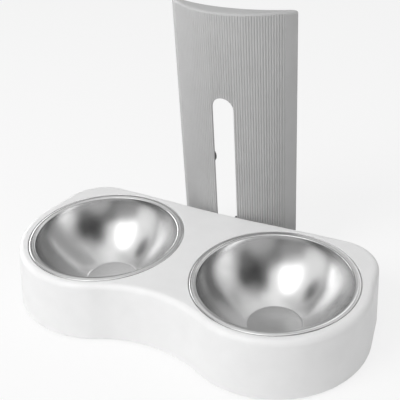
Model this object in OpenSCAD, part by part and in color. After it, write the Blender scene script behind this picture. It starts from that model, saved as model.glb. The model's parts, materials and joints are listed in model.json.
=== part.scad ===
// Height adjustable double pet bowl. Two steel bowls drop into a kidney
// shaped tray, and the tray slides up and down a fluted back panel.
// A knob behind the panel clamps it at any height of the slot.

/* [Bowls] */
// Diameter of the tray hole that takes a bowl
hole_d = 130; // [112:1:142]
// Distance between the bowl centres
bowl_spacing = 152; // [148:1:170]
// Thickness of the bowl steel
bowl_wall = 0.8; // [0.6:0.1:1.2]
// Width of the rolled rim of a bowl
rim_w = 5.2; // [4:0.1:7]
// Height of the rolled rim of a bowl
rim_h = 2.2; // [1.8:0.1:3]
// Diameter of the flat floor inside a bowl
bowl_floor_d = 43; // [30:1:60]

/* [Tray] */
// Height of the tray from its lower edge to its deck
tray_h = 47.5; // [44:0.5:60]
// Thickness of the tray wall
tray_wall = 2.6; // [2:0.1:3.4]
// Thickness of the tray deck
deck_t = 3; // [2.4:0.1:4]
// Radius of the rounded edge between deck and wall
edge_r = 4.5; // [3:0.1:5]
// How far the wall flares out from the deck to the lower edge
flare = 2.1; // [0:0.1:4]
// How far the lower edge lies in front of the deck outline
lean = 4.5; // [0:0.1:6]
// Width of the deck in front of and beside a bowl
lobe_lip = 7.5; // [6.5:0.1:14]
// Width of the deck behind a bowl
back_lip = 3.9; // [3.4:0.1:10]
// Radius of the two rear corners
corner_r = 35.4; // [24:0.2:42]
// Radius of the hollow at the front between the bowls
waist_r = 106; // [80:1:160]

/* [Back panel] */
// Width of the panel
panel_w = 109; // [104:1:130]
// Height of the panel above its base
panel_h = 218.5; // [190:0.5:260]
// How far the middle of the panel bulges forward
panel_bulge = 25.8; // [22:0.2:30]
// How far the back edge of the panel curves in at the middle
panel_hollow = 12; // [8:0.5:15]
// Radius of the rounded edge between the top and the front of the panel
cap_edge_r = 3; // [1:0.5:4]
// Thickness of the panel wall
panel_t = 2.2; // [1.8:0.1:3]
// Gap between the tray and the panel
panel_gap = 2.6; // [2:0.1:6]
// Radius of the two upper corners
panel_corner_r = 4; // [2:0.5:8]
// Distance between neighbouring ribs
rib_pitch = 2.1; // [1.6:0.1:4]
// Height of a rib
rib_h = 0.65; // [0.1:0.05:0.8]
// Width of the plain band at each side of the ribs
rib_margin = 10.5; // [4:0.5:20]

/* [Slot] */
// Width of the slot
slot_w = 19.4; // [16:0.2:24]
// Distance from the top of the slot to the top of the panel
slot_drop = 69.5; // [40:0.5:90]

/* [Base] */
// Thickness of the base plate
base_t = 3; // [2.4:0.1:4]
// Height of the rubber feet under the base plate
foot_h = 2; // [2:0.1:3]
// Diameter of a rubber foot
foot_d = 12; // [9:0.5:14]
// Height of the stiffening rim on the base plate
base_rim_h = 4; // [2:0.5:4.5]

/* [Clamp] */
// Diameter of the knob
knob_d = 24; // [20:1:27]
// Length of the knob
knob_l = 12; // [9:0.5:12.5]
// Diameter of the clamp bolt
bolt_d = 6; // [5:0.5:6.5]
// Width of the clamp plate behind the panel
plate_w = 40; // [34:1:42]
// Height of the saddle between tray and panel
saddle_h = 31; // [28:0.5:32]
// Width of the saddle between tray and panel
saddle_w = 58; // [50:1:64]

/* [Hidden] */
$fn = 96;

// Overrun of every cut
cut = 1;
// Gap between pieces that slide past each other or rest on each other
gap = 0.3;
// Clearance round a screw or bolt
hole_play = 0.2;

// Heights
tray_lift = 1.5;
tray_bottom = tray_lift;
tray_top = tray_bottom + tray_h;
base_top = foot_h + base_t;
panel_top = base_top + panel_h;
cap_t = 2.4;

// Bowl
bowl_x = bowl_spacing / 2;
hole_r = hole_d / 2;
rim_play = 0.6;
rim_proud = 0.3;
rim_crown = 1.1;
floor_turn = 10;
side_taper = 1.45;
under_bowl = 2.7;
rim_out_r = hole_r - rim_play;
bowl_in_r = rim_out_r - rim_w;
bowl_depth = tray_h + rim_proud - bowl_wall - under_bowl;
bowl_top = tray_top + rim_proud;
well_play = 0.5;
well_r = bowl_in_r + bowl_wall + well_play;
seat_depth = rim_h + gap - rim_proud;
collar_wall = 2.6;
collar_h = 7;

// Tray outline, measured from the middle between the bowls
lobe_shift = 1;
lobe_forward = -1.6;
corner_rise = 2.8;
lower_edge_r = 0.8;
end_lip = 3;
lobe_r = hole_r + lobe_lip;
lobe_x = bowl_x + lobe_shift;
tray_back = hole_r + back_lip;
corner_x = bowl_x + hole_r + end_lip - corner_r;
corner_y = tray_back + corner_rise - corner_r;
lobe_y = -lobe_forward;

// Panel, measured from the middle between the bowls
panel_front = tray_back + panel_gap;
panel_back = panel_front + panel_bulge;
panel_r = (panel_w * panel_w / 4 + panel_bulge * panel_bulge) / (2 * panel_bulge);
arc_y = panel_front + panel_r;
end_land = 1.1;
hollow_half_w = panel_w / 2 - end_land;
hollow_r = (hollow_half_w * hollow_half_w + panel_hollow * panel_hollow) / (2 * panel_hollow);
hollow_y = panel_back - panel_hollow + hollow_r;
end_angle = asin(panel_w / 2 / panel_r);
rib_angle = rib_pitch / panel_r * 180 / PI;
rib_count = floor((end_angle - rib_margin / panel_r * 180 / PI) * 2 / rib_angle);
rib_half_angle = rib_count * rib_angle / 2;
rib_steps = 4;
margin_steps = 4;
crown_steps = 9;
arc_fn = 288;

// Slot and the key that runs in it
slot_foot = 3;
slot_bottom = base_top + slot_foot;
slot_top = panel_top - slot_drop;
key_play = 0.35;
key_w = slot_w - 2 * key_play;
key_bottom = slot_bottom + gap;
key_h = 27;
key_reach = 2.5;
bolt_rise = 10;
bolt_z = key_bottom + bolt_rise;
tray_travel = slot_top - key_bottom - key_h - gap;

// Pad on the tray, saddle, clamp plate, washer and knob, front to back
pad_t = 6.4;
pad_proud = 0.3;
pad_back = tray_back + pad_proud;
pad_front = pad_back - pad_t;
pad_rise = 5;
saddle_bottom = tray_bottom + pad_rise + gap;
saddle_mid_z = saddle_bottom + saddle_h / 2;
grip_t = 0.9;
panel_in = panel_front + panel_t;
plate_t = 8;
plate_back = panel_in + gap + plate_t;
plate_rim = 2.2;
plate_bottom = key_bottom - plate_rim;
plate_h = key_h + 2 * plate_rim;
washer_d = 18;
washer_t = 1.2;
knob_front = plate_back + washer_t;
knob_collar_d = 16;
knob_collar_h = 1.5;
grip_count = 6;
grip_d = 9;
grip_bite = 1.6;
nut_w = 10;
nut_t = 5;
nut_depth = 3;
bolt_tip = 0.8;
head_d = 15;
head_h = 3.4;
neck_extra = 1.2;
neck_w = bolt_d + neck_extra;
neck_l = 3;

// Screws of the saddle
saddle_screw_x = 21;
saddle_screw_dz = 8.5;
screw_d = 3.5;
screw_head_d = 6.6;
screw_head_h = 2.2;
screw_bite = 3.8;
screw_bore = 1.4;

// Rear ribs, posts and bumpers of the panel
post_d = 10;
post_play = 5;
post_x = plate_w / 2 + post_d / 2 + post_play;
post_rise = 79.5;
post_z = base_top + post_rise;
bumper_d = 16;
bumper_h = 6.2;
bumper_wrap = 2;
bumper_pin_d = 5;
bumper_pin_l = 5;
bumper_r = 1.4;
bumper_back = panel_back + bumper_h - bumper_wrap;

// Screw bosses of the panel
boss_d = 9;
boss_h = 14;
boss_play = 2.5;
boss_near_x = plate_w / 2 + boss_d / 2 + boss_play;
boss_inset = 3.6;
base_screw_l = 11;
base_head_z = foot_h + screw_head_h / 2;
base_screw_top = base_head_z + base_screw_l;

// Base plate
base_play = 5;
base_inset = tray_wall + base_play;
base_rim_w = 2.4;
bowl_pass_inset = 18;
bowl_pass_r = hole_r - bowl_pass_inset;
pass_rim_h = 3;
tail_side = 1.6;
tail_r = 8;
tail_rear = 0.6;
notch_play = 1.2;
knob_notch_play = 2.8;
knob_notch_w = knob_d + 2 * knob_notch_play;
foot_ring_r = (bowl_pass_r + lobe_r - base_inset + flare) / 2;
foot_front_angle = -104;
foot_side_angle = 24;
foot_margin = 1.1;
foot_rear_x = panel_w / 2 + tail_side - foot_d / 2 - foot_margin;
foot_rear_y = panel_back + tail_rear - foot_d / 2 - foot_margin;
foot_screw_play = 1.7;
boss_far_x = foot_rear_x - foot_d / 2 - screw_head_d / 2 - foot_screw_play;
foot_pin_d = 5;
foot_edge = 0.6;

// Ribs under the deck of the tray
web_t = 2;
web_h = 12;
web_angles = [-150, -100, -50, 0, 40];
web_reach = 16;

// The whole stand is centred from front to back on its own depth
front_reach = lobe_r - lobe_y + flare + lean;
stand_y = (front_reach - bumper_back) / 2;

// Steps along the tray outline and up its edge
corner_steps = 14;
lobe_steps = 26;
waist_steps = 9;
back_steps = 7;
edge_steps = 5;

// Steps along the side of a bowl and round its rim
bowl_steps = 20;
rim_steps = 8;

function arc(cx, cy, r, a0, a1, n) =
  [for (i = [0:n]) let (a = a0 + (a1 - a0) * i / n) [cx + r * cos(a), cy + r * sin(a)]];

// Direction square to the common tangent of corner and lobe
function side_angle() =
  let (dx = lobe_x - corner_x, dy = lobe_y - corner_y, len = norm([dx, dy]))
  atan2(dy, dx) + acos((corner_r - lobe_r) / len);

// Right half of the tray outline, from the middle of the back to the waist
function half_outline(inset) =
  let (
    rc = corner_r - inset,
    rl = lobe_r - inset,
    rw = waist_r + inset,
    a = side_angle(),
    wy = lobe_y - sqrt(pow(lobe_r + waist_r, 2) - lobe_x * lobe_x),
    aw = atan2(wy - lobe_y, -lobe_x),
    back = [for (i = [0:back_steps - 1]) let (u = i / back_steps)
      [u * corner_x, tray_back - inset + corner_rise * (1 - cos(180 * u)) / 2]]
  )
  concat(
    back,
    arc(corner_x, corner_y, rc, 90, a, corner_steps),
    arc(lobe_x, lobe_y, rl, a, aw, lobe_steps),
    [for (i = [1:waist_steps]) let (b = 180 + aw + (90 - 180 - aw) * i / waist_steps)
      [rw * cos(b), wy + rw * sin(b)]]
  );

// Closed outline, moved forward by shift
function outline(inset, shift = 0) =
  let (h = half_outline(inset), n = len(h))
  concat(
    [for (p = h) [p[0], p[1] - shift]],
    [for (i = [n - 2:-1:1]) [-h[i][0], h[i][1] - shift]]
  );

// Solid through a stack of outlines, each given as [inset, shift, z]
module loft(levels) {
  rings = [for (v = levels) [for (p = outline(v[0], v[1])) [p[0], p[1], v[2]]]];
  n = len(rings[0]);
  m = len(rings);
  sides = [for (k = [0:m - 2], i = [0:n - 1]) let (j = (i + 1) % n)
    each [[k * n + i, k * n + j, (k + 1) * n + j], [k * n + i, (k + 1) * n + j, (k + 1) * n + i]]];
  bottom = [for (i = [0:n - 1]) i];
  top = [for (i = [n - 1:-1:0]) (m - 1) * n + i];
  polyhedron(
    points = [for (r = rings) each r],
    faces = concat([bottom], sides, [top]),
    convexity = 6
  );
}

// Share of the wall height below the deck, for flare and lean
function drop_share(z) = (tray_top - z) / tray_h;

function wall_level(inset, z) = [inset - flare * drop_share(z), lean * drop_share(z), z];

module at_stand() translate([0, stand_y, 0]) children();

module for_sides() for (s = [-1, 1]) translate([s * bowl_x, 0, 0]) children();

// Cylinder that runs along Y from y0 to y1
module rod(d, y0, y1) translate([0, y0, 0]) rotate([-90, 0, 0]) cylinder(d = d, h = y1 - y0);

module tray_outside() {
  loft(concat(
    [wall_level(lower_edge_r, tray_bottom), wall_level(0, tray_bottom + lower_edge_r)],
    [for (i = [0:edge_steps]) let (a = 90 * i / edge_steps)
      wall_level(edge_r * (1 - cos(a)), tray_top - edge_r * (1 - sin(a)))]
  ));
}

module tray_hollow() {
  loft([
    wall_level(tray_wall, tray_bottom - cut),
    wall_level(tray_wall, tray_top - deck_t)
  ]);
}

// Rings under the deck that carry the bowls, with short webs to the wall
module bowl_collars() {
  for_sides() {
    translate([0, 0, tray_top - collar_h]) cylinder(r = hole_r + collar_wall, h = collar_h);
  }
  for (s = [-1, 1], a = web_angles) {
    translate([s * bowl_x, 0, tray_top - deck_t - web_h])
      rotate([0, 0, s > 0 ? a : 180 - a])
        translate([well_r + collar_wall, -web_t / 2, 0])
          cube([web_reach, web_t, web_h + deck_t]);
  }
  translate([-web_t / 2, -lobe_r, tray_top - deck_t - web_h])
    cube([web_t, lobe_r + pad_front, web_h + deck_t]);
}

module bowl_holes() {
  for_sides() {
    translate([0, 0, tray_top - seat_depth]) cylinder(r = hole_r, h = seat_depth + cut);
    translate([0, 0, tray_bottom]) cylinder(r = well_r, h = tray_h);
  }
}

module saddle_screw_places() {
  for (x = [-saddle_screw_x, saddle_screw_x], z = [-saddle_screw_dz, saddle_screw_dz])
    translate([x, 0, saddle_mid_z + z]) children();
}

// Flat pad at the back of the tray that the saddle is screwed to
module tray_pad() {
  translate([-saddle_w / 2, pad_front, tray_bottom + pad_rise])
    cube([saddle_w, pad_t, saddle_h + 2 * gap]);
}

module tray_shell() color("#e6e6e5") at_stand() {
  difference() {
    union() {
      difference() {
        tray_outside();
        difference() {
          tray_hollow();
          bowl_collars();
        }
      }
      tray_pad();
    }
    bowl_holes();
    saddle_screw_places() rod(screw_d + hole_play, pad_front - cut, pad_back + cut);
    translate([0, 0, bolt_z]) {
      rod(bolt_d + hole_play, pad_front - cut, pad_back + cut);
      translate([0, pad_front - cut, 0]) {
        translate([-neck_w / 2 - hole_play, 0, -neck_w / 2 - hole_play])
          cube([neck_w + 2 * hole_play, neck_l + cut + hole_play, neck_w + 2 * hole_play]);
      }
    }
    translate([-panel_w / 2 - tail_side - notch_play, tray_back - lobe_r / 2, tray_bottom - cut])
      cube([panel_w + 2 * (tail_side + notch_play), lobe_r, base_top + notch_play - tray_bottom + cut]);
  }
}

// Side of a bowl, flatter than an ellipse, from its floor up to its rim
function bowl_curve(r_end, z_end, depth) =
  let (
    a = (r_end - bowl_floor_d / 2) / (1 - pow(sin(floor_turn), side_taper)),
    b = depth / pow(cos(floor_turn), side_taper)
  )
  [for (i = [0:bowl_steps]) let (u = floor_turn + (90 - floor_turn) * i / bowl_steps)
    [r_end - a * (1 - pow(sin(u), side_taper)), z_end - b * pow(cos(u), side_taper)]];

// Section of a bowl, with its rolled rim filled
function bowl_section() =
  let (
    inside = bowl_curve(bowl_in_r, -rim_crown, bowl_depth - rim_crown),
    outside = bowl_curve(bowl_in_r + bowl_wall, -rim_h, bowl_depth + bowl_wall - rim_h),
    crown = [for (i = [1:rim_steps]) let (a = 180 - 180 * i / rim_steps)
      [bowl_in_r + rim_w / 2 + rim_w / 2 * cos(a), -rim_crown + rim_crown * sin(a)]]
  )
  concat(
    [[0, -bowl_depth]], inside, crown,
    [[rim_out_r, -rim_h + rim_crown / 2], [rim_out_r - rim_crown / 2, -rim_h]],
    [for (i = [bowl_steps:-1:0]) outside[i]],
    [[0, -bowl_depth - bowl_wall]]
  );

module bowl() color("#c8c8c6") translate([0, 0, bowl_top]) rotate_extrude() polygon(bowl_section());

module left_bowl() at_stand() translate([-bowl_x, 0, 0]) bowl();
module right_bowl() at_stand() translate([bowl_x, 0, 0]) bowl();

// Depth below the arc: half-round ribs side by side, with a groove between two
function rib_dip(a) =
  abs(a) < rib_half_angle ? rib_h * (1 - abs(sin(180 * (a + rib_half_angle) / rib_angle))) : 0;

function arc_point(a, r) = [r * sin(a), arc_y - r * cos(a)];

// Front of the panel in plan, with its ribs
function panel_arc() =
  let (
    n = rib_count * rib_steps,
    margin = end_angle - rib_half_angle,
    left = [for (i = [0:margin_steps - 1]) -end_angle + margin * i / margin_steps],
    ribs = [for (i = [0:n]) -rib_half_angle + 2 * rib_half_angle * i / n],
    right = [for (i = [1:margin_steps]) rib_half_angle + margin * i / margin_steps]
  )
  [for (a = concat(left, ribs, right)) arc_point(a, panel_r - rib_dip(a))];

// Front view of the panel, with its two rounded upper corners
module panel_elevation() {
  w = panel_w / 2;
  translate([-w, base_top]) square([panel_w, panel_h - panel_corner_r]);
  translate([-w + panel_corner_r, base_top]) square([panel_w - 2 * panel_corner_r, panel_h]);
  for (s = [-1, 1])
    translate([s * (w - panel_corner_r), panel_top - panel_corner_r]) circle(r = panel_corner_r);
}

// Ring that rounds the edge between the top and the front of the panel
module crown_cut() {
  r = panel_r - cap_edge_r;
  z = panel_top - cap_edge_r;
  edge = [for (i = [1:crown_steps]) let (a = 90 * i / crown_steps)
    [r + cap_edge_r * cos(a), z + cap_edge_r * sin(a)]];
  translate([0, arc_y, 0]) rotate_extrude()
    polygon(concat(edge, [[r, panel_top + cut], [panel_r + cut, panel_top + cut], [panel_r + cut, edge[0][1]]]));
}

module slot_cut() {
  r = slot_w / 2;
  translate([-r, panel_front - cut, slot_bottom])
    cube([slot_w, panel_bulge, slot_top - r - slot_bottom]);
  translate([0, 0, slot_top - r]) rod(slot_w, panel_front - cut, panel_front + panel_bulge - cut);
}

// How far back a wall of radius r lies at a distance x from the middle
function wall_y(x, r) = arc_y - sqrt(r * r - x * x);

function boss_place(x) = [x, wall_y(abs(x), panel_r - panel_t) + boss_inset];

boss_places = [for (x = [-boss_far_x, -boss_near_x, boss_near_x, boss_far_x]) boss_place(x)];

module back_panel() color("#a9a9a8") at_stand() {
  difference() {
    union() {
      difference() {
        intersection() {
          linear_extrude(height = panel_top) polygon(panel_arc());
          translate([0, panel_back + cut, 0]) rotate([90, 0, 0])
            linear_extrude(height = panel_bulge + 2 * cut) panel_elevation();
        }
        crown_cut();
        translate([0, arc_y, base_top - cut])
          cylinder(r = panel_r - panel_t, h = panel_h - cap_t + cut, $fn = arc_fn);
        translate([0, hollow_y, base_top - cut])
          cylinder(r = hollow_r, h = panel_h + 2 * cut, $fn = arc_fn);
      }
      intersection() {
        for (s = [-1, 1])
          translate([s * post_x, 0, post_z]) rod(post_d, panel_front, panel_back - bumper_wrap);
        translate([0, arc_y, base_top]) cylinder(r = panel_r - panel_t / 2, h = panel_h);
      }
      intersection() {
        union() for (p = boss_places)
          translate([p[0], p[1], base_top]) cylinder(d = boss_d, h = boss_h);
        translate([0, arc_y, base_top]) cylinder(r = panel_r - panel_t / 2, h = boss_h);
      }
    }
    slot_cut();
    for (s = [-1, 1])
      translate([s * post_x, 0, post_z])
        rod(bumper_pin_d + hole_play, panel_back - bumper_wrap - bumper_pin_l - gap, panel_back + cut);
    for (p = boss_places)
      translate([p[0], p[1], base_top - cut])
        cylinder(d = screw_d - screw_bore + hole_play, h = base_screw_top - base_top + gap + cut);
  }
}

module bumper(s) color("#2b2b2b") at_stand()
  translate([s * post_x, panel_back - bumper_wrap, post_z]) rotate([-90, 0, 0])
    rotate_extrude() polygon([
      [0, -bumper_pin_l], [bumper_pin_d / 2, -bumper_pin_l], [bumper_pin_d / 2, 0],
      [bumper_d / 2, 0], [bumper_d / 2, bumper_h - bumper_r],
      [bumper_d / 2 - bumper_r, bumper_h], [0, bumper_h]
    ]);

module base_outline() {
  union() {
    polygon(outline(base_inset - flare, lean));
    w = panel_w / 2 + tail_side;
    translate([-w, 0]) square([2 * w, panel_back + tail_rear - tail_r]);
    translate([-w + tail_r, 0]) square([2 * (w - tail_r), panel_back + tail_rear]);
    for (s = [-1, 1])
      translate([s * (w - tail_r), panel_back + tail_rear - tail_r]) circle(r = tail_r);
  }
}

// Place of each foot, by side and by position
function foot_place(s, k) =
  k == 2 ? [s * foot_rear_x, foot_rear_y] :
  let (a = k == 0 ? foot_front_angle : foot_side_angle)
  [s * (lobe_x + foot_ring_r * cos(a)), lobe_y - lean + foot_ring_r * sin(a)];

module base_plate() color("#8f8f8e") at_stand() {
  difference() {
    union() {
      translate([0, 0, foot_h]) linear_extrude(height = base_t) base_outline();
      translate([0, 0, base_top]) linear_extrude(height = base_rim_h) difference() {
        polygon(outline(base_inset - flare, lean));
        polygon(outline(base_inset - flare + base_rim_w, lean));
      }
      for_sides() translate([0, 0, base_top]) cylinder(r = bowl_pass_r + base_rim_w, h = pass_rim_h);
    }
    for_sides() translate([0, 0, foot_h - cut])
      cylinder(r = bowl_pass_r, h = base_t + base_rim_h + 2 * cut);
    translate([-knob_notch_w / 2, panel_in + gap, foot_h - cut])
      cube([knob_notch_w, panel_bulge + cut, base_t + 2 * cut]);
    for (p = boss_places) translate([p[0], p[1], foot_h - cut]) {
      cylinder(d = screw_d + hole_play, h = base_t + 2 * cut);
      cylinder(d = screw_head_d + hole_play, h = screw_head_h / 2 + cut);
    }
    for (s = [-1, 1], k = [0:2]) {
      p = foot_place(s, k);
      translate([p[0], p[1], foot_h - cut]) cylinder(d = foot_pin_d + hole_play, h = base_t + 2 * cut);
    }
  }
}

module base_screws() color("#9a9a9c") at_stand() {
  for (p = boss_places) translate([p[0], p[1], base_head_z - screw_head_h]) {
    cylinder(d = screw_head_d, h = screw_head_h);
    cylinder(d = screw_d - screw_bore, h = screw_head_h + base_screw_l);
    cylinder(d = screw_d, h = screw_head_h + base_top - base_head_z);
  }
}

module foot(s, k) color("#3a3a3a") at_stand() {
  p = foot_place(s, k);
  translate([p[0], p[1], 0]) rotate_extrude() polygon([
    [0, 0], [foot_d / 2 - foot_edge, 0], [foot_d / 2, foot_edge], [foot_d / 2, foot_h],
    [foot_pin_d / 2, foot_h], [foot_pin_d / 2, base_top - foot_edge], [0, base_top - foot_edge]
  ]);
}

module key_block(play, y0, y1) {
  r = key_w / 2 + play;
  translate([-r, y0, key_bottom - play]) cube([2 * r, y1 - y0, key_h + 2 * play - r]);
  translate([0, 0, key_bottom + key_h + play - r]) rod(2 * r, y0, y1);
}

// Block between tray and panel: flat in front, hollow behind to follow the
// panel, with a key that runs in the slot
module saddle() color("#8a8a89") at_stand() {
  difference() {
    union() {
      difference() {
        translate([-saddle_w / 2, pad_back, saddle_bottom])
          cube([saddle_w, panel_bulge, saddle_h]);
        translate([0, arc_y, saddle_bottom - cut])
          cylinder(r = panel_r + gap, h = saddle_h + 2 * cut);
      }
      key_block(0, pad_back, panel_in + key_reach);
    }
    translate([0, 0, bolt_z]) rod(bolt_d + hole_play, pad_back - cut, panel_in + key_reach + cut);
    saddle_screw_places() rod(screw_d - screw_bore + hole_play, pad_back - cut, pad_back + screw_bite + gap);
  }
}

module saddle_screws() color("#9a9a9c") at_stand() {
  saddle_screw_places() {
    rod(screw_head_d, pad_front - screw_head_h, pad_front);
    rod(screw_d, pad_front, pad_back);
    rod(screw_d - screw_bore, pad_back, pad_back + screw_bite);
  }
}

// Thin rubber lining between the clamp plate and the back of the panel
module grip_pad() color("#303030") at_stand() {
  difference() {
    intersection() {
      translate([-plate_w / 2, panel_in, plate_bottom])
        cube([plate_w, panel_bulge, plate_h]);
      translate([0, arc_y, 0]) cylinder(r = panel_r - panel_t - gap, h = tray_top);
    }
    translate([0, arc_y, -cut]) cylinder(r = panel_r - panel_t - gap - grip_t, h = tray_top + 2 * cut);
    key_block(key_play, panel_in - cut, panel_in + key_reach + gap + grip_t + cut);
  }
}

module clamp_plate() color("#77777a") at_stand() {
  difference() {
    intersection() {
      translate([-plate_w / 2, panel_in, plate_bottom])
        cube([plate_w, plate_back - panel_in, plate_h]);
      translate([0, arc_y, 0]) cylinder(r = panel_r - panel_t - gap - grip_t, h = tray_top);
    }
    key_block(key_play, panel_in - cut, panel_in + key_reach + gap);
    translate([0, 0, bolt_z]) rod(bolt_d + hole_play, panel_in, plate_back + cut);
  }
}

module clamp_washer() color("#b9b9bb") at_stand() translate([0, 0, bolt_z]) difference() {
  rod(washer_d, plate_back, knob_front);
  rod(bolt_d + 2 * hole_play, plate_back - cut, knob_front + cut);
}

// Carriage bolt, with its square neck held in the pad of the tray
module clamp_bolt() color("#b9b9bb") at_stand() translate([0, 0, bolt_z]) {
  rod(head_d, pad_front - head_h, pad_front);
  rod(bolt_d, pad_front, knob_front + knob_l - nut_depth + bolt_tip);
  translate([-neck_w / 2, pad_front, -neck_w / 2]) cube([neck_w, neck_l, neck_w]);
}

module clamp_knob() color("#2e2e30") at_stand() translate([0, 0, bolt_z]) {
  back = knob_front + gap + knob_l;
  difference() {
    union() {
      rod(knob_collar_d, knob_front + gap, knob_front + gap + knob_collar_h);
      rod(knob_d, knob_front + gap + knob_collar_h, back);
    }
    for (i = [0:grip_count - 1]) rotate([0, 360 * i / grip_count, 0])
      translate([knob_d / 2 + grip_d / 2 - grip_bite, 0, 0])
        rod(grip_d, knob_front, back + cut);
    rod(bolt_d + 2 * hole_play, knob_front - cut, back + cut);
    translate([0, back - nut_depth - nut_t, 0]) rotate([-90, 0, 0])
      cylinder(d = (nut_w + hole_play) / cos(30), h = nut_depth + nut_t + cut, $fn = 6);
  }
}

module knob_nut() color("#b9b9bb") at_stand() translate([0, 0, bolt_z]) {
  back = knob_front + gap + knob_l;
  difference() {
    translate([0, back - nut_depth - nut_t, 0]) rotate([-90, 0, 0])
      cylinder(d = nut_w / cos(30), h = nut_t, $fn = 6);
    rod(bolt_d + hole_play, knob_front, back + cut);
  }
}

base_plate();
back_panel();
base_screws();
foot(-1, 0);  // foot_left_front
foot(-1, 1);  // foot_left_side
foot(-1, 2);  // foot_left_rear
foot(1, 0);  // foot_right_front
foot(1, 1);  // foot_right_side
foot(1, 2);  // foot_right_rear
bumper(-1);  // bumper_left
bumper(1);  // bumper_right
tray_shell();
saddle();
saddle_screws();
grip_pad();
clamp_bolt();
clamp_plate();
clamp_washer();
clamp_knob();
knob_nut();
left_bowl();
right_bowl();
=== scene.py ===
import json
import math

import bmesh
import bpy
from mathutils import Matrix, Vector


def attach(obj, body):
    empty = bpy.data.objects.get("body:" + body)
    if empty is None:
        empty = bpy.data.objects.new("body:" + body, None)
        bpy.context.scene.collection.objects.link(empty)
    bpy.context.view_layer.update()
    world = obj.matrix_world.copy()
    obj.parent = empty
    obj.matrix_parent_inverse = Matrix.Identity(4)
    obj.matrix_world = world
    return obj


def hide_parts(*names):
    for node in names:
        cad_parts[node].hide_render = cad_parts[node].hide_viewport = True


# A height adjustable double pet bowl: two steel bowls in a white kidney shaped
# tray, which slides on a fluted grey back panel and is clamped from behind.
# Lengths are millimetres until a mesh is finished, and then metres.

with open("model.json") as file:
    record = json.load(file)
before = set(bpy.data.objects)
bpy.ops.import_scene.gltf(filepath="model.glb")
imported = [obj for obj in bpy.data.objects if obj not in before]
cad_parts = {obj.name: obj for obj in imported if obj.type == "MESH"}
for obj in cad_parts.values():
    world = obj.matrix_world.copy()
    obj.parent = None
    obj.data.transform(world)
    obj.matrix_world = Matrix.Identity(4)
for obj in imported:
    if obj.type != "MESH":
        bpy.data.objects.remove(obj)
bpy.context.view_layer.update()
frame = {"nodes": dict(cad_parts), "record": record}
body_of_node = {
    node: body
    for body, nodes in frame["record"]["behaviour"]["bodies"].items()
    for node in nodes
}
TO_METRES = 0.001


def aim_camera():
    """The photograph's viewpoint, with its slight roll."""
    yaw, pitch, roll = (math.radians(a) for a in (29.937, 30.874, -3.581))
    ahead = Vector(
        (-math.sin(yaw) * math.cos(pitch), math.cos(yaw) * math.cos(pitch), -math.sin(pitch))
    )
    level = Vector((math.cos(yaw), math.sin(yaw), 0))
    upright = level.cross(ahead)
    right = level * math.cos(roll) + upright * math.sin(roll)
    up = upright * math.cos(roll) - level * math.sin(roll)
    data = bpy.data.cameras.new("photo_camera")
    data.lens, data.sensor_width = 70.07, 36
    data.clip_start, data.clip_end = 0.01, 30
    camera = bpy.data.objects.new("photo_camera", data)
    camera.matrix_world = Matrix((right, up, -ahead)).transposed().to_4x4()
    camera.matrix_world.translation = Vector((265.4, -445.2, 402.7)) * TO_METRES
    bpy.context.scene.collection.objects.link(camera)
    bpy.context.scene.camera = camera


aim_camera()

# Sizes, the same as in the part's source
BOWL_X = 76
HOLE_R = 65
TRAY_BOTTOM = 1.5
TRAY_H = 47.5
TRAY_TOP = TRAY_BOTTOM + TRAY_H
TRAY_WALL = 2.6
DECK_T = 3
EDGE_R = 4.5
FLARE = 2.1
LEAN = 4.5
LOWER_EDGE_R = 0.8
LOBE_R = HOLE_R + 7.5
LOBE_X = BOWL_X + 1
LOBE_Y = 1.6
TRAY_BACK = HOLE_R + 3.9
CORNER_R = 35.4
CORNER_RISE = 2.8
CORNER_X = BOWL_X + HOLE_R + 3 - CORNER_R
CORNER_Y = TRAY_BACK + CORNER_RISE - CORNER_R
WAIST_R = 106

RIM_W = 5.2
RIM_H = 2.2
RIM_CROWN = 1.1
RIM_PROUD = 0.3
BOWL_WALL = 0.8
BOWL_FLOOR_R = 21.5
FLOOR_TURN = 10
SIDE_TAPER = 1.45
RIM_OUT_R = HOLE_R - 0.6
BOWL_IN_R = RIM_OUT_R - RIM_W
BOWL_TOP = TRAY_TOP + RIM_PROUD
BOWL_DEPTH = TRAY_H + RIM_PROUD - BOWL_WALL - 2.7
WELL_R = BOWL_IN_R + BOWL_WALL + 0.5
SEAT_DEPTH = RIM_H + 0.3 - RIM_PROUD
COLLAR_WALL = 2.6
COLLAR_R = HOLE_R + COLLAR_WALL
COLLAR_H = 7

BASE_TOP = 5
PANEL_W = 109
PANEL_H = 218.5
PANEL_TOP = BASE_TOP + PANEL_H
PANEL_T = 2.2
PANEL_BULGE = 25.8
PANEL_HOLLOW = 12
CAP_T = 2.4
CAP_EDGE_R = 3
PANEL_CORNER_R = 4
PANEL_FRONT = TRAY_BACK + 2.6
PANEL_BACK = PANEL_FRONT + PANEL_BULGE
PANEL_R = (PANEL_W**2 / 4 + PANEL_BULGE**2) / (2 * PANEL_BULGE)
PANEL_ARC_Y = PANEL_FRONT + PANEL_R
PANEL_END = math.asin(PANEL_W / 2 / PANEL_R)
HOLLOW_HALF_W = PANEL_W / 2 - 1.1
HOLLOW_R = (HOLLOW_HALF_W**2 + PANEL_HOLLOW**2) / (2 * PANEL_HOLLOW)
HOLLOW_Y = PANEL_BACK - PANEL_HOLLOW + HOLLOW_R
RIB_H = 0.65
RIB_ANGLE = 2.1 / PANEL_R
RIB_COUNT = math.floor((PANEL_END - 10.5 / PANEL_R) * 2 / RIB_ANGLE)
RIB_HALF = RIB_COUNT * RIB_ANGLE / 2

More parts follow.
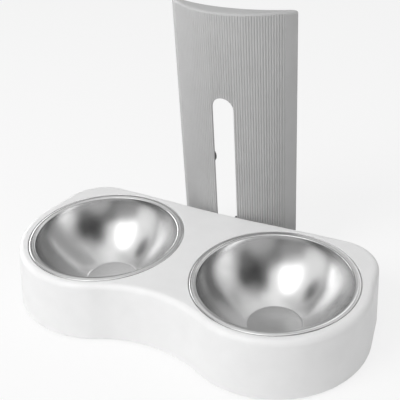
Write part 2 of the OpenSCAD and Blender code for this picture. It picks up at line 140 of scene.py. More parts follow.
SLOT_R = 9.7
SLOT_BOTTOM = 8
SLOT_TOP = PANEL_TOP - 69.5
POST_X = 30
POST_Z = 84.5
POST_D = 10
POST_ROOT = 1
PIN_HOLE_D = 5.2
PIN_HOLE_L = 5.3
BUMPER_WRAP = 2
BOSS_X = (-38, -27, 27, 38)
BOSS_D = 9
BOSS_H = 14
BOSS_ZONE = 60
BOSS_INSET = 3.6
BOSS_HOLE_D = 2.3
BOSS_HOLE_L = 9.4

PAD_W = 58
PAD_T = 6.4
PAD_BACK = TRAY_BACK + 0.3
PAD_BOTTOM = TRAY_BOTTOM + 5
PAD_H = 31.6
SADDLE_SCREW_X = 21
SADDLE_SCREW_DZ = 8.5
SADDLE_MID_Z = PAD_BOTTOM + 0.3 + 15.5
SCREW_HOLE_D = 3.7
BOLT_Z = 18.3
BOLT_HOLE_D = 6.2
NECK_HOLE_W = 7.6
NECK_HOLE_L = 3.2
NOTCH_HALF_W = 57.3
NOTCH_DEPTH = 20
NOTCH_TOP = 6.2
WEB_T = 2
WEB_H = 12
WEB_REACH = 16
WEB_ANGLES = (-150, -100, -50, 0, 40)

# The middle of the two bowls lies this far along Y in the shared frame
STAND_Y = -12

# Small roundings and chamfers that only show close up
HOLE_EDGE_R = 0.5
SEAT_EASE = 0.2
WELL_EASE = 0.3
LIP_EASE = 0.5
DECK_ROOT = 1.5
DECK_ROOT_MID = 0.4
FLOOR_EASE = 0.5
SLOT_EDGE_R = 0.5
PANEL_TIP_R = 0.35

# How far a cutter reaches past what it cuts, and how close two points may be
# before they are taken for one
CUT = 1
SLIVER = 0.004

# Sides of the turned shapes
BOWL_SIDES = 192
PANEL_SIDES = 360


def arc(cx, cy, r, start, end, steps):
    """Points of a circle's arc between two angles in degrees."""
    angles = [math.radians(start + (end - start) * i / steps) for i in range(steps + 1)]
    return [(cx + r * math.cos(a), cy + r * math.sin(a)) for a in angles]


def half_outline(inset):
    """Right half of the tray outline, from the middle of the back to the waist."""
    reach = math.hypot(LOBE_X - CORNER_X, LOBE_Y - CORNER_Y)
    side = math.degrees(
        math.atan2(LOBE_Y - CORNER_Y, LOBE_X - CORNER_X) + math.acos((CORNER_R - LOBE_R) / reach)
    )
    waist_y = LOBE_Y - math.sqrt((LOBE_R + WAIST_R) ** 2 - LOBE_X**2)
    to_waist = math.degrees(math.atan2(waist_y - LOBE_Y, -LOBE_X))
    back_steps = 28
    back = []
    for i in range(back_steps):
        u = i / back_steps
        rise = CORNER_RISE * (1 - math.cos(math.pi * u)) / 2
        back.append((u * CORNER_X, TRAY_BACK - inset + rise))
    waist = arc(0, waist_y, WAIST_R + inset, 180 + to_waist, 90, 26)
    return (
        back
        + arc(CORNER_X, CORNER_Y, CORNER_R - inset, 90, side, 34)
        + arc(LOBE_X, LOBE_Y, LOBE_R - inset, side, to_waist, 70)
        + waist[1:]
    )


def tray_ring(inset, z):
    """Tray outline at height z, with the flare and forward lean of its wall."""
    drop = (TRAY_TOP - z) / TRAY_H
    half = half_outline(inset - FLARE * drop)
    whole = half + [(-x, y) for x, y in half[-2:0:-1]]
    return [(x, y - LEAN * drop + STAND_Y, z) for x, y in whole]


def circle_ring(cx, cy, r, z, steps):
    """Points of a level circle."""
    turn = 2 * math.pi / steps
    return [(cx + r * math.cos(turn * i), cy + r * math.sin(turn * i), z) for i in range(steps)]


def new_object(name, points, faces):
    """Mesh object whose faces all look outwards."""
    mesh = bpy.data.meshes.new(name)
    mesh.from_pydata(points, [], faces)
    tidy = bmesh.new()
    tidy.from_mesh(mesh)
    bmesh.ops.recalc_face_normals(tidy, faces=tidy.faces)
    tidy.to_mesh(mesh)
    tidy.free()
    obj = bpy.data.objects.new(name, mesh)
    bpy.context.scene.collection.objects.link(obj)
    return obj


def stack(name, rings):
    """Solid through rings of points that all hold the same number of points."""
    n = len(rings[0])
    points = [p for ring in rings for p in ring]
    faces = [
        (k * n + i, k * n + (i + 1) % n, (k + 1) * n + (i + 1) % n, (k + 1) * n + i)
        for k in range(len(rings) - 1)
        for i in range(n)
    ]
    faces.append(tuple(range(n)))
    faces.append(tuple(range(len(points) - n, len(points))))
    return new_object(name, points, faces)


def turned(name, profile, steps, place=Matrix.Identity(4)):
    """Solid turned about Z from (radius, height) points, then put in its place."""
    points, first = [], []
    for r, z in profile:
        first.append(len(points))
        ring = [(0, 0, z)] if r == 0 else circle_ring(0, 0, r, z, steps)
        points += [place @ Vector(p) for p in ring]
    closed = profile[0][0] > 0 and profile[-1][0] > 0
    pairs = list(range(len(profile) - 1))
    faces = []
    for k in pairs + ([len(profile) - 1] if closed else []):
        m = (k + 1) % len(profile)
        for i in range(steps):
            j = (i + 1) % steps
            corners = [first[k], first[k]] if profile[k][0] == 0 else [first[k] + i, first[k] + j]
            corners += [first[m], first[m]] if profile[m][0] == 0 else [first[m] + j, first[m] + i]
            faces.append(tuple(dict.fromkeys(corners)))
    return new_object(name, points, faces)


def block(name, low, high):
    """Box between two opposite corners."""
    (x0, y0, z0), (x1, y1, z1) = low, high
    return stack(name, [[(x0, y0, z), (x1, y0, z), (x1, y1, z), (x0, y1, z)] for z in (z0, z1)])


def rod(name, x, z, d, y0, y1, steps=64):
    """Cylinder along Y, measured like the part's source from between the bowls."""
    place = Matrix.Translation((x, y0 + STAND_Y, z)) @ Matrix.Rotation(-math.pi / 2, 4, "X")
    return turned(name, [(0, 0), (d / 2, 0), (d / 2, y1 - y0), (0, y1 - y0)], steps, place)


def bake(obj):
    """Turns the result of an object's modifiers into its mesh."""
    graph = bpy.context.evaluated_depsgraph_get()
    mesh = bpy.data.meshes.new_from_object(obj.evaluated_get(graph))
    obj.modifiers.clear()
    obj.data = mesh


def combine(obj, tool, operation="DIFFERENCE"):
    """Cuts tool out of obj, or joins it, and drops the tool."""
    step = obj.modifiers.new("step", "BOOLEAN")
    step.object, step.operation, step.solver = tool, operation, "EXACT"
    bake(obj)
    bpy.data.objects.remove(tool)


def finish_piece(obj, material, node, sharp=35):
    """Turns a finished mesh to metres and lets it stand for its CAD node."""
    obj.data.transform(Matrix.Scale(TO_METRES, 4))
    obj.data.shade_smooth()
    obj.data.set_sharp_from_angle(angle=math.radians(sharp))
    obj.data.materials.clear()
    obj.data.materials.append(material)
    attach(obj, body_of_node[node])
    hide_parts(node)
    return obj


def linear(code):
    """Linear colour of an sRGB hex value."""
    parts = [int(code[i : i + 2], 16) / 255 for i in (1, 3, 5)]
    return [c / 12.92 if c <= 0.04045 else ((c + 0.055) / 1.055) ** 2.4 for c in parts] + [1]


def add(tree, kind, settings=None, inputs=None):
    """Adds a node, sets it, and fills or links its inputs."""
    node = tree.nodes.new(kind)
    for key, value in (settings or {}).items():
        setattr(node, key, value)
    for key, value in (inputs or {}).items():
        if isinstance(value, bpy.types.NodeSocket):
            tree.links.new(value, node.inputs[key])
        else:
            node.inputs[key].default_value = value
    return node


def new_material(name):
    material = bpy.data.materials.new(name)
    material.use_nodes = True
    material.node_tree.nodes.clear()
    return material, material.node_tree


def per_mm(size):
    """Texture scale for a feature of this size, as the coordinates are metres."""
    return 1 / (size * TO_METRES)


# Part of a noise's range that is used, and how far the roughness drifts with it
NOISE_SPAN = {"From Min": 0.3, "From Max": 0.7}
GLOSS_DRIFT = 0.03


def moulded(name, light, dark, roughness, grain_mm, grain_depth_mm, haze_mm=18):
    """Injection moulded plastic: an even colour that drifts a little over a few
    centimetres, and the fine grain of the mould that breaks up its gloss."""
    material, tree = new_material(name)
    where = add(tree, "ShaderNodeTexCoord").outputs["Object"]
    haze = add(
        tree,
        "ShaderNodeTexNoise",
        inputs={"Vector": where, "Scale": per_mm(haze_mm), "Detail": 3.0},
    ).outputs["Fac"]
    grain = add(
        tree,
        "ShaderNodeTexNoise",
        inputs={"Vector": where, "Scale": per_mm(grain_mm), "Detail": 2.0, "Roughness": 0.6},
    )
    blend = add(
        tree,
        "ShaderNodeMapRange",
        inputs={"Value": haze, **NOISE_SPAN, "To Min": 0.0, "To Max": 1.0},
    )
    tone = add(
        tree,
        "ShaderNodeMix",
        {"data_type": "RGBA"},
        {"Factor": blend.outputs["Result"], "A": linear(light), "B": linear(dark)},
    )
    gloss = add(
        tree,
        "ShaderNodeMapRange",
        inputs={
            "Value": haze,
            **NOISE_SPAN,
            "To Min": roughness - GLOSS_DRIFT,
            "To Max": roughness + GLOSS_DRIFT,
        },
    )
    bump = add(
        tree,
        "ShaderNodeBump",
        inputs={
            "Height": grain.outputs["Fac"],
            "Distance": grain_depth_mm * TO_METRES,
            "Strength": 1.0,
        },
    )
    shader = add(
        tree,
        "ShaderNodeBsdfPrincipled",
        inputs={
            "Base Color": tone.outputs["Result"],
            "Roughness": gloss.outputs["Result"],
            "IOR": 1.5,
            "Normal": bump.outputs["Normal"],
        },
    )
    add(tree, "ShaderNodeOutputMaterial", inputs={"Surface": shader.outputs["BSDF"]})
    return material


def steel(name, light, dark, roughness, grain_mm, grain_depth_mm, patch_mm):
    """Polished or plated steel: nearly one tone, with soft patches of gloss and a
    very fine uneven surface that blurs what it mirrors."""
    material, tree = new_material(name)
    where = add(tree, "ShaderNodeTexCoord").outputs["Object"]
    patch = add(
        tree,
        "ShaderNodeTexNoise",
        inputs={"Vector": where, "Scale": per_mm(patch_mm), "Detail": 4.0},
    ).outputs["Fac"]
    grain = add(
        tree,
        "ShaderNodeTexNoise",
        inputs={"Vector": where, "Scale": per_mm(grain_mm), "Detail": 2.0},
    )
    blend = add(
        tree,
        "ShaderNodeMapRange",
        inputs={"Value": patch, **NOISE_SPAN, "To Min": 0.0, "To Max": 1.0},
    )
    tone = add(
        tree,
        "ShaderNodeMix",
        {"data_type": "RGBA"},
        {"Factor": blend.outputs["Result"], "A": linear(light), "B": linear(dark)},
    )
    gloss = add(
        tree,
        "ShaderNodeMapRange",
        inputs={
            "Value": patch,
            **NOISE_SPAN,
            "To Min": roughness - GLOSS_DRIFT,
            "To Max": roughness + GLOSS_DRIFT,
        },
    )
    bump = add(
        tree,
        "ShaderNodeBump",
        inputs={
            "Height": grain.outputs["Fac"],
            "Distance": grain_depth_mm * TO_METRES,
            "Strength": 1.0,
        },
    )
    shader = add(
        tree,
        "ShaderNodeBsdfPrincipled",
        inputs={
            "Base Color": tone.outputs["Result"],
            "Metallic": 1.0,
            "Roughness": gloss.outputs["Result"],
            "Normal": bump.outputs["Normal"],
        },
    )
    add(tree, "ShaderNodeOutputMaterial", inputs={"Surface": shader.outputs["BSDF"]})
    return material


# Satin white ABS of the tray: clean, with a soft sheen on its rounded edges
white_abs = moulded("white_abs", "#F0F0F0", "#ECECEC", 0.42, 1.2, 0.006)
# Matt grey ABS of the panel: the mould is etched, so it has almost no gloss
grey_abs = moulded("grey_abs", "#BBBBBB", "#B7B7B7", 0.55, 0.9, 0.012)
# Darker grey ABS of the base plate, which stays out of sight
base_abs = moulded("base_abs", "#A0A0A0", "#9B9B9B", 0.5, 0.9, 0.012)
# Glass filled nylon of saddle and clamp: tough, dull and faintly speckled
clamp_nylon = moulded("clamp_nylon", "#858587", "#78787A", 0.55, 0.7, 0.02, 5)
# Black polypropylene of the knob, slightly shiny where fingers rub it
knob_plastic = moulded("knob_plastic", "#29292B", "#222224", 0.38, 0.8, 0.01, 6)
# Soft rubber of feet, bumpers and grip pad: black, dull and a little dusty
black_rubber = moulded("black_rubber", "#2E2E2E", "#272727", 0.75, 0.6, 0.02, 4)
# Satin polished stainless steel of the bowls, spun and then polished all over
bowl_steel = steel("bowl_steel", "#D3D3D3", "#CFCFCF", 0.24, 1.5, 0.0006, 14)
# Zinc plated steel of bolt, nut, washer and screws: bluish, finely frosted
zinc_steel = steel("zinc_steel", "#C4C7CB", "#AEB1B6", 0.33, 0.5, 0.004, 2)


def hole_cutter(side):
    """Hole for a bowl: rounded upper edge, seat for the rim, and well."""
    turns = [math.radians(18 * i) for i in range(6)]
    edge = [
        (HOLE_R + HOLE_EDGE_R * (1 - math.sin(a)), TRAY_TOP - HOLE_EDGE_R * (1 - math.cos(a)))
        for a in turns
    ]
    seat, under = TRAY_TOP - SEAT_DEPTH, TRAY_TOP - COLLAR_H
    profile = [(0, TRAY_TOP + CUT), (HOLE_R + HOLE_EDGE_R, TRAY_TOP + CUT), *edge]
    profile += [
        (HOLE_R, seat + SEAT_EASE),
        (HOLE_R - SEAT_EASE, seat),
        (WELL_R + WELL_EASE, seat),
        (WELL_R, seat - WELL_EASE),
        (WELL_R, under + WELL_EASE),
        (WELL_R + WELL_EASE, under),
        (WELL_R + WELL_EASE, under - CUT),
        (0, under - CUT),
    ]
    return turned("hole", profile, BOWL_SIDES, Matrix.Translation((side * BOWL_X, STAND_Y, 0)))


def tray_hollow():
    """Room under the deck, less the collars and webs that stand in it."""
    deck_under = TRAY_TOP - DECK_T
    levels = [
        (TRAY_WALL - LIP_EASE, TRAY_BOTTOM - CUT),
        (TRAY_WALL - LIP_EASE, TRAY_BOTTOM),
        (TRAY_WALL, TRAY_BOTTOM + LIP_EASE),
        (TRAY_WALL, deck_under - DECK_ROOT),
        (TRAY_WALL + DECK_ROOT_MID, deck_under - DECK_ROOT_MID),
        (TRAY_WALL + DECK_ROOT, deck_under),
    ]
    hollow = stack("hollow", [tray_ring(inset, z) for inset, z in levels])
    web_z = deck_under - WEB_H
    low = TRAY_TOP - COLLAR_H
    collar = [
        (0, low),
        (COLLAR_R - WELL_EASE, low),
        (COLLAR_R, low + WELL_EASE),
        (COLLAR_R, TRAY_TOP),
        (0, TRAY_TOP),
    ]
    for side in (-1, 1):
        place = Matrix.Translation((side * BOWL_X, STAND_Y, 0))
        combine(hollow, turned("collar", collar, BOWL_SIDES, place))
        for angle in WEB_ANGLES:
            turn = math.radians(angle if side > 0 else 180 - angle)
            near, far = WELL_R + COLLAR_WALL, WELL_R + COLLAR_WALL + WEB_REACH
            rib = block("web", (near, -WEB_T / 2, web_z), (far, WEB_T / 2, TRAY_TOP))
            rib.data.transform(place @ Matrix.Rotation(turn, 4, "Z"))
            combine(hollow, rib)
    back = PAD_BACK - PAD_T + STAND_Y
    half = WEB_T / 2
    combine(hollow, block("web", (-half, STAND_Y - LOBE_R, web_z), (half, back, TRAY_TOP)))
    return hollow


def make_tray():
    """Hollow tray, open below, with its two holes, seats, collars, webs and pad."""
    lower = [math.radians(a) for a in (0, 30, 60, 90)]
    edge = [math.radians(7.5 * i) for i in range(13)]
    rings = [
        tray_ring(LOWER_EDGE_R * (1 - math.sin(a)), TRAY_BOTTOM + LOWER_EDGE_R * (1 - math.cos(a)))
        for a in lower
    ]
    rings += [
        tray_ring(EDGE_R * (1 - math.cos(a)), TRAY_TOP - EDGE_R * (1 - math.sin(a))) for a in edge
    ]
    tray = stack("tray", rings)
    combine(tray, tray_hollow())
    for side in (-1, 1):
        combine(tray, hole_cutter(side))
    notch_y = TRAY_BACK - NOTCH_DEPTH + STAND_Y
    low = (-NOTCH_HALF_W, notch_y, -CUT)
    high = (NOTCH_HALF_W, notch_y + 3 * NOTCH_DEPTH, NOTCH_TOP)
    combine(tray, block("notch", low, high))
    pad_y = PAD_BACK - PAD_T + STAND_Y
    pad = block(
        "pad",
        (-PAD_W / 2, pad_y, PAD_BOTTOM),
        (PAD_W / 2, PAD_BACK + STAND_Y, PAD_BOTTOM + PAD_H),
    )
    combine(tray, pad, "UNION")
    through = (PAD_BACK - PAD_T - CUT, PAD_BACK + CUT)
    for x in (-SADDLE_SCREW_X, SADDLE_SCREW_X):
        for z in (-SADDLE_SCREW_DZ, SADDLE_SCREW_DZ):
            combine(tray, rod("hole", x, SADDLE_MID_Z + z, SCREW_HOLE_D, *through, 32))
    combine(tray, rod("hole", 0, BOLT_Z, BOLT_HOLE_D, *through, 48))
    half = NECK_HOLE_W / 2
    low = (-half, pad_y - CUT, BOLT_Z - half)
    high = (half, pad_y + NECK_HOLE_L, BOLT_Z + half)
    combine(tray, block("neck", low, high))
    weigh = tray.modifiers.new("even", "WEIGHTED_NORMAL")
    weigh.keep_sharp = True
    return finish_piece(tray, white_abs, "tray_shell")


def bowl_curve(r_end, z_end, depth, steps=40):
    """Side of a bowl, flatter than an ellipse, from its floor up to its rim."""
    start = math.radians(FLOOR_TURN)
    a = (r_end - BOWL_FLOOR_R) / (1 - math.sin(start) ** SIDE_TAPER)
    b = depth / math.cos(start) ** SIDE_TAPER
    turns = [start + (math.pi / 2 - start) * i / steps for i in range(steps)]
    side = [
        (r_end - a * (1 - math.sin(u) ** SIDE_TAPER), z_end - b * math.cos(u) ** SIDE_TAPER)
        for u in turns
    ]
    return side + [(r_end, z_end)]


def make_bowl(name, side, node):
    """Spun steel bowl with a flat floor and a rolled rim."""
    inside = bowl_curve(BOWL_IN_R, -RIM_CROWN, BOWL_DEPTH - RIM_CROWN)
    outside = bowl_curve(BOWL_IN_R + BOWL_WALL, -RIM_H, BOWL_DEPTH + BOWL_WALL - RIM_H)
    crown = []
    for i in range(1, 20):
        a = math.pi - math.pi * i / 20
        r = BOWL_IN_R + RIM_W / 2 * (1 + math.cos(a))
        crown.append((r, -RIM_CROWN + RIM_CROWN * math.sin(a)))
    roll = [
        (RIM_OUT_R, -RIM_CROWN),
        (RIM_OUT_R - 0.1, -RIM_H + 0.45),
        (RIM_OUT_R - 0.4, -RIM_H + 0.1),
        (RIM_OUT_R - 0.8, -RIM_H),
    ]
    edge, below = BOWL_FLOOR_R - FLOOR_EASE, -BOWL_DEPTH - BOWL_WALL
    floor = [(0, -BOWL_DEPTH), (BOWL_FLOOR_R / 2, -BOWL_DEPTH), (edge, -BOWL_DEPTH)]
    under = [(edge, below), (0, below)]
    inside[0] = (inside[0][0] + 0.15, inside[0][1] + 0.05)
    profile = floor + inside + crown + roll + outside[::-1] + under
    place = Matrix.Translation((side * BOWL_X, STAND_Y, BOWL_TOP))
    bowl = turned(name, profile, BOWL_SIDES, place)
    return finish_piece(bowl, bowl_steel, node, 60)


def rib_dip(a):
    """Depth below the arc: half-round ribs side by side, with a groove between two."""
    if abs(a) >= RIB_HALF:
        return 0
    return RIB_H * (1 - abs(math.sin(math.pi * (a + RIB_HALF) / RIB_ANGLE)))


def rounded(before, corner, after, r, steps=4):
    """Points of a small arc in place of a corner of a flat outline."""
    p, a, b = Vector(corner), Vector(before) - Vector(corner), Vector(after) - Vector(corner)
    a.normalize()
    b.normalize()
    half = a.angle(b) / 2
    centre = p + (a + b).normalized() * (r / math.sin(half))
    start = p + a * (r / math.tan(half)) - centre
    end = p + b * (r / math.tan(half)) - centre
    turn = start.angle_signed(end)
    return [tuple(centre + Matrix.Rotation(-turn * i / steps, 2) @ start) for i in range(steps + 1)]


def panel_outline():
    """The panel in plan: ribbed front arc, narrow rounded ends, hollow back."""
    steps_per_rib, plain = 8, 8
    n = RIB_COUNT * steps_per_rib
    margin = PANEL_END - RIB_HALF
    angles = [-PANEL_END + margin * i / plain for i in range(plain)]
    angles += [-RIB_HALF + 2 * RIB_HALF * i / n for i in range(n + 1)]
    angles += [RIB_HALF + margin * i / plain for i in range(1, plain + 1)]
    front = []
    for a in angles:
        r = PANEL_R - rib_dip(a)
        front.append((r * math.sin(a), PANEL_ARC_Y - r * math.cos(a)))
    land = (HOLLOW_HALF_W, PANEL_BACK)
    back = []
    for i in range(1, 120):
        x = HOLLOW_HALF_W * (1 - i / 60)
        back.append((x, HOLLOW_Y - math.sqrt(HOLLOW_R**2 - x**2)))
    right = rounded(front[-2], front[-1], land, PANEL_TIP_R)
    right += rounded(front[-1], land, back[0], PANEL_TIP_R)
    left = [(-x, y) for x, y in reversed(right)]
    return [(x, y + STAND_Y) for x, y in front[1:-1] + right + back + left]


def corner_cutter(side):
    """What lies outside the rounded upper corner of the panel."""
    w, r = PANEL_W / 2, PANEL_CORNER_R
    curve = arc(w - r, PANEL_TOP - r, r, 0, 90, 16)
    past, above = w + 2 * CUT, PANEL_TOP + 2 * CUT
    shape = curve + [(w - r, above), (past, above), (past, PANEL_TOP - r)]
    depths = (PANEL_FRONT - 2 * CUT, PANEL_BACK + 2 * CUT)
    rings = [[(side * x, y + STAND_Y, z) for x, z in shape] for y in depths]
    return stack("corner", rings)


def crown_cutter():
    """Ring that rounds the edge between the top and the front of the panel."""
    r, z = PANEL_R - CAP_EDGE_R, PANEL_TOP - CAP_EDGE_R
    edge = arc(r, z, CAP_EDGE_R, 6, 90, 14)
    past, above = PANEL_R + CUT, PANEL_TOP + CUT
    profile = edge + [(r, above), (past, above), (past, edge[0][1])]
    middle = Matrix.Translation((0, PANEL_ARC_Y + STAND_Y, 0))
    return turned("crown", profile, PANEL_SIDES, middle)


def slot_cutter():
    """The slot, with a small rounding where it breaks the curved front."""

    def ring(offset, depth):
        r = SLOT_R + offset
        bottom = [(-r + 2 * r * i / 16, SLOT_BOTTOM - offset) for i in range(17)]
        top = arc(0, SLOT_TOP - SLOT_R, r, 0, 180, 48)
        points = []
        for x, z in bottom + top:
            y = PANEL_ARC_Y - math.sqrt((PANEL_R - depth) ** 2 - x * x)
            points.append((x, y + STAND_Y, z))
        return points

    turns = [math.radians(a) for a in (10, 26, 42, 58, 74, 90)]
    rings = [ring(SLOT_EDGE_R, -2 * CUT)]
    rings += [ring(SLOT_EDGE_R * (1 - math.sin(t)), SLOT_EDGE_R * (1 - math.cos(t))) for t in turns]
    rings += [ring(0, PANEL_T + 2 * CUT)]
    return stack("slot", rings)


def close_slivers(obj):
    """Merges points that the cuts left almost in one place, and closes what stays open."""
    mend = bmesh.new()
    mend.from_mesh(obj.data)
    bmesh.ops.remove_doubles(mend, verts=mend.verts, dist=SLIVER)
    bmesh.ops.dissolve_degenerate(mend, edges=mend.edges, dist=SLIVER)
    gaps = [edge for edge in mend.edges if edge.is_boundary]
    bmesh.ops.holes_fill(mend, edges=gaps, sides=8)
    mend.to_mesh(obj.data)
    mend.free()


def make_panel():
    """Ribbed panel, open behind, with its cap, slot, bumper posts and screw bosses."""
    plan = panel_outline()
    panel = stack("panel", [[(x, y, z) for x, y in plan] for z in (BASE_TOP, PANEL_TOP)])
    middle = Matrix.Translation((0, PANEL_ARC_Y + STAND_Y, 0))
    inner, low, cap_under = PANEL_R - PANEL_T, BASE_TOP - CUT, PANEL_TOP - CAP_T
    lining = [(0, low), (inner, low), (inner, cap_under), (0, cap_under)]
    combine(panel, turned("lining", lining, PANEL_SIDES, middle))
    for side in (-1, 1):
        combine(panel, corner_cutter(side))
    combine(panel, crown_cutter())
    combine(panel, slot_cutter())
    for x in (-POST_X, POST_X):
        wall_y = PANEL_ARC_Y - math.sqrt((PANEL_R - PANEL_T / 2) ** 2 - x * x)
        end = PANEL_BACK - BUMPER_WRAP
        combine(panel, rod("post", x, POST_Z, POST_D, wall_y + POST_ROOT, end), "UNION")
        pin = rod("pin", x, POST_Z, PIN_HOLE_D, end - PIN_HOLE_L, PANEL_BACK + CUT)
        combine(panel, pin)
    for x in BOSS_X:
        wall_y = PANEL_ARC_Y - math.sqrt((PANEL_R - PANEL_T) ** 2 - x * x)
        boss_y = wall_y + BOSS_INSET + STAND_Y
        rings = [circle_ring(x, boss_y, BOSS_D / 2, z, 48) for z in (BASE_TOP, BASE_TOP + BOSS_H)]
        boss = stack("boss", rings)
        mid_wall = PANEL_R - PANEL_T / 2
        keep = [(0, -CUT), (mid_wall, -CUT), (mid_wall, BOSS_ZONE), (0, BOSS_ZONE)]
        combine(boss, turned("keep", keep, 288, middle), "INTERSECT")
        combine(panel, boss, "UNION")
        levels = (BASE_TOP - CUT, BASE_TOP + BOSS_HOLE_L)
        rings = [circle_ring(x, boss_y, BOSS_HOLE_D / 2, z, 24) for z in levels]
        combine(panel, stack("bore", rings))
    close_slivers(panel)
    return finish_piece(panel, grey_abs, "back_panel")


make_tray()
make_bowl("bowl_left", -1, "left_bowl")
make_bowl("bowl_right", 1, "right_bowl")
make_panel()


def dress(node, material, bevel_mm=0.3):
    """A CAD node that keeps its shape, with softened edges and its finish."""
    obj = frame["nodes"][node]
    obj.data.materials.clear()
    obj.data.materials.append(material)
    obj.data.shade_smooth()
    weld = obj.modifiers.new("weld", "WELD")
    weld.merge_threshold = 0.002 * TO_METRES
    flat = obj.modifiers.new("flat", "DECIMATE")
    flat.decimate_type, flat.angle_limit = "DISSOLVE", math.radians(0.5)
    soften = obj.modifiers.new("soften", "BEVEL")
    soften.width, soften.segments = bevel_mm * TO_METRES, 2
    soften.limit_method, soften.angle_limit = "ANGLE", math.radians(35)
    soften.use_clamp_overlap = True
    even = obj.modifiers.new("even", "WEIGHTED_NORMAL")
    even.keep_sharp = True


dress("base_plate", base_abs)
for foot in ("left_front", "left_side", "left_rear", "right_front", "right_side", "right_rear"):
    dress("foot_" + foot, black_rubber)
dress("bumper_left", black_rubber)
dress("bumper_right", black_rubber)
dress("grip_pad", black_rubber, 0.15)
dress("saddle", clamp_nylon)
dress("clamp_plate", clamp_nylon)
dress("clamp_knob", knob_plastic, 0.4)
for piece in ("base_screws", "saddle_screws", "clamp_bolt", "clamp_washer", "knob_nut"):
    dress(piece, zinc_steel, 0.15)


# Where the studio looks; its sizes are metres
AIM = Vector((0, STAND_Y * TO_METRES, 0.06))
FLOOR_HALF_W = 4
DOME_R = 5
# Share of the floor's look that is plain white, and level of the soft light
FLOOR_GLOW = 0.8
SOFT_LEVEL = 0.4


def direction(azimuth, elevation):
    """Unit vector; azimuth turns from the front, -Y, towards +X."""
    a, e = math.radians(azimuth), math.radians(elevation)
    return Vector((math.sin(a) * math.cos(e), -math.cos(a) * math.cos(e), math.sin(e)))


def studio_floor():
    """Pale floor. It shows near white to the camera and in the steel, and keeps a
    faint shadow of the object."""
    material, tree = new_material("studio_floor")
    path = add(tree, "ShaderNodeLightPath").outputs
    seen = add(
        tree,
        "ShaderNodeMath",
        {"operation": "MAXIMUM"},
        {0: path["Is Camera Ray"], 1: path["Is Glossy Ray"]},
    )
    share = add(
        tree,
        "ShaderNodeMath",
        {"operation": "MULTIPLY"},
        {0: seen.outputs[0], 1: FLOOR_GLOW},
    )
    matt = add(tree, "ShaderNodeBsdfDiffuse", inputs={"Color": linear("#EFEFEF")})
    glow = add(tree, "ShaderNodeEmission", inputs={"Color": linear("#FFFFFF"), "Strength": 1.0})
    mix = add(
        tree,
        "ShaderNodeMixShader",
        inputs={0: share.outputs[0], 1: matt.outputs[0], 2: glow.outputs[0]},
    )
    add(tree, "ShaderNodeOutputMaterial", inputs={"Surface": mix.outputs[0]})
    half = FLOOR_HALF_W
    corners = [(-half, -half, 0), (half, -half, 0), (half, half, 0), (-half, half, 0)]
    floor = new_object("floor", corners, [(0, 1, 2, 3)])
    floor.data.materials.append(material)


def studio_world():
    """Even light from all round, and a white background."""
    world = bpy.data.worlds.new("studio")
    bpy.context.scene.world = world
    world.use_nodes = True
    tree = world.node_tree
    tree.nodes.clear()
    path = add(tree, "ShaderNodeLightPath").outputs
    plain = linear("#FFFFFF")
    soft = add(tree, "ShaderNodeBackground", inputs={"Color": plain, "Strength": SOFT_LEVEL})
    white = add(tree, "ShaderNodeBackground", inputs={"Color": plain, "Strength": 1.0})
    mix = add(
        tree,
        "ShaderNodeMixShader",
        inputs={0: path["Is Camera Ray"], 1: soft.outputs[0], 2: white.outputs[0]},
    )
    add(tree, "ShaderNodeOutputWorld", inputs={"Surface": mix.outputs[0]})


def lamp(name, azimuth, elevation, power, size=0.8, distance=1.4):
    """Round softbox that lights the object. Glossy surfaces mirror the dome instead."""
    data = bpy.data.lights.new(name, "AREA")
    data.shape, data.size, data.energy = "DISK", size, power
    obj = bpy.data.objects.new(name, data)
    bpy.context.scene.collection.objects.link(obj)
    toward = direction(azimuth, elevation)
    obj.location = AIM + toward * distance
    obj.rotation_euler = toward.to_track_quat("Z", "Y").to_euler()
    obj.visible_glossy = False


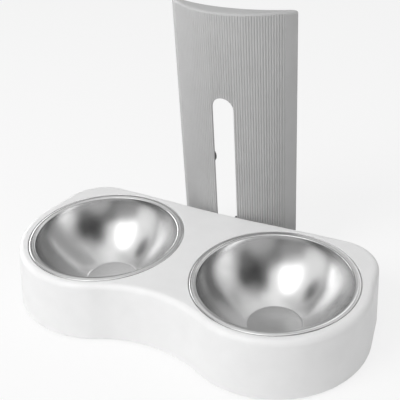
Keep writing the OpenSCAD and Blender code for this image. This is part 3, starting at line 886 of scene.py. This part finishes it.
# What glossy surfaces mirror: soft round patches of light and shade in an even room. A
# program fitted these numbers to how bright the two bowls are in the photograph, so
# they aren't the lights of a real studio. Each patch has its azimuth and elevation,
# the radii of its even core and of its soft edge in degrees, and its level, where 1
# is white. It covers those before it, and its name says where it lies.
ROOM_LEVEL = 0.16
MIRRORED = {
    "top_front": (-9, 72, 32, 36, 1.18),
    "high_front_right": (60, 47, 3, 21, 0.02),
    "high_rear_left": (-129, 48, 5, 33, 0.93),
    "low_left_wide": (-109, 0, 10, 32, 4.5),
    "low_right_wide": (109, 2, 2, 39, 1.38),
    "high_rear": (-171, 45, 2, 10, 2.0),
    "high_front_left": (-54, 47, 8, 39, 0.76),
    "low_front_right": (44, 10, 9, 27, 0.57),
    "high_rear_right": (132, 59, 10, 34, 0.94),
    "mid_front_left": (-45, 30, 5, 37, 1.17),
    "low_left_narrow": (-85, 0, 6, 22, 4.76),
    "low_rear": (166, 0, 17, 50, 1.23),
    "low_right_narrow": (74, 0, 6, 21, 0.55),
    "high_front": (-13, 47, 4, 21, 3.49),
    "mid_rear_left": (-125, 27, 9, 13, 0.13),
    "mid_right": (88, 39, 3, 13, 0.02),
    "mid_left": (-68, 37, 7, 11, 0.02),
    "mid_front": (-3, 22, 8, 25, 0.38),
}


def studio_dome():
    """Far dome that only glossy surfaces see, with the patches that they mirror."""
    material, tree = new_material("studio_dome")
    where = add(tree, "ShaderNodeTexCoord").outputs["Object"]
    toward = add(tree, "ShaderNodeVectorMath", {"operation": "NORMALIZE"}, {0: where})
    toward = toward.outputs["Vector"]
    level = ROOM_LEVEL
    for azimuth, elevation, core, edge, strength in MIRRORED.values():
        near = add(
            tree,
            "ShaderNodeVectorMath",
            {"operation": "DOT_PRODUCT"},
            {0: toward, 1: direction(azimuth, elevation)},
        )
        share = add(
            tree,
            "ShaderNodeMapRange",
            {"interpolation_type": "SMOOTHSTEP"},
            {
                "Value": near.outputs["Value"],
                "From Min": math.cos(math.radians(edge)),
                "From Max": math.cos(math.radians(core)),
            },
        )
        level = add(
            tree,
            "ShaderNodeMix",
            inputs={"Factor": share.outputs["Result"], "A": level, "B": strength},
        ).outputs["Result"]
    plain = linear("#FFFFFF")
    glow = add(tree, "ShaderNodeEmission", inputs={"Color": plain, "Strength": level})
    add(tree, "ShaderNodeOutputMaterial", inputs={"Surface": glow.outputs[0]})
    heights = [math.radians(a) for a in range(-3, 90, 3)]
    profile = [(DOME_R * math.cos(e), DOME_R * math.sin(e)) for e in heights] + [(0, DOME_R)]
    dome = turned("studio_dome", profile, 96)
    dome.location = AIM
    dome.data.materials.append(material)
    dome.visible_camera = dome.visible_diffuse = dome.visible_shadow = False
    dome.visible_transmission = dome.visible_volume_scatter = False


studio_floor()
studio_world()
studio_dome()
lamp("key", -32, 47, 9.6)
lamp("fill_left", -50, 20, 1.2)
lamp("fill_right", 40, 15, 2.0)
lamp("top", 0, 85, 1.6, 1.0)

bpy.context.scene.view_settings.view_transform = "Standard"
